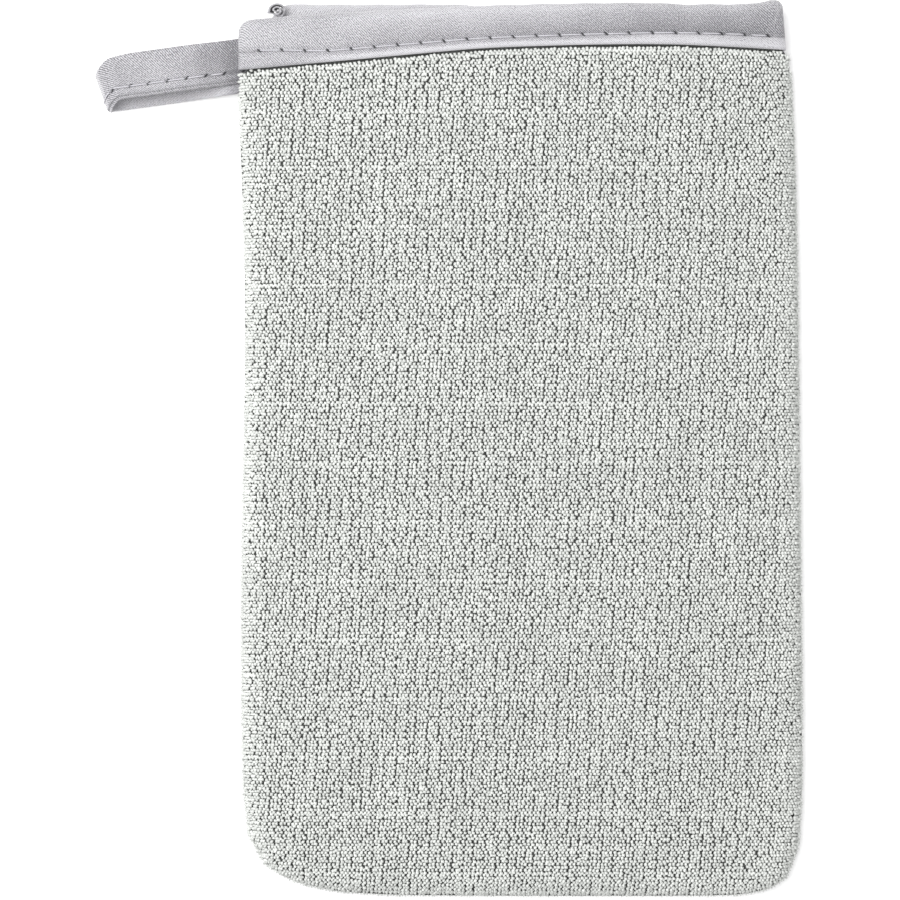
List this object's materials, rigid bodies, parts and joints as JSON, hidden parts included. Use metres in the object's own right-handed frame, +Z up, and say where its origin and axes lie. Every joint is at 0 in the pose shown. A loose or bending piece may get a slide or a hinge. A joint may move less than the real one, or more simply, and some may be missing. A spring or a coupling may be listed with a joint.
{
  "type": "wash mitt",
  "caption": "Flat pouch-shaped wash mitt of loop-pile knit, its mouth bound with folded bias tape, with a hanging loop of the same tape in one side seam.",
  "frame": {"origin": "on the floor under the middle of the whole object, with the mitt lying flat on its back panel", "axes": "+Z up through the thickness, +Y from the toe to the mouth, +X to the side away from the hanging loop"},
  "size_m": [0.1897, 0.24, 0.0134],
  "materials": {
    "pile_knit": "matt pale green-grey loops over a darker grey ground knit",
    "bias_tape": "lavender-grey satin cut on the bias, soft sheen",
    "sewing_thread": "twisted polyester thread, slight sheen",
    "overlock_thread": "soft textured thread, matt"
  },
  "bodies": {
    "back": {"back_panel": "pile_knit", "back_binding": "bias_tape", "back_binding_needle_thread": "sewing_thread", "back_binding_bobbin_thread": "sewing_thread", "seam_lower_thread": "overlock_thread", "loop_upper_tail": "bias_tape", "loop_lower_tail": "bias_tape", "binding_tape_end": "bias_tape"},
    "front": {"front_panel": "pile_knit", "front_binding": "bias_tape", "front_binding_needle_thread": "sewing_thread", "front_binding_bobbin_thread": "sewing_thread", "seam_upper_thread": "overlock_thread"},
    "loop": {"hanging_loop": "bias_tape", "loop_needle_thread": "sewing_thread", "loop_bobbin_thread": "sewing_thread"}
  },
  "joints": [
    {"name": "mouth_opening", "type": "hinge", "parent": "back", "child": "front", "pos_m": [0.0189, -0.12, 0.0044], "axis": [1, 0, 0], "range_deg": [0, 12]},
    {"name": "loop_swing", "type": "hinge", "parent": "back", "child": "loop", "pos_m": [-0.0588, 0.1022, 0.0059], "axis": [0, 1, 0], "range_deg": [-80, 80]}
  ]
}
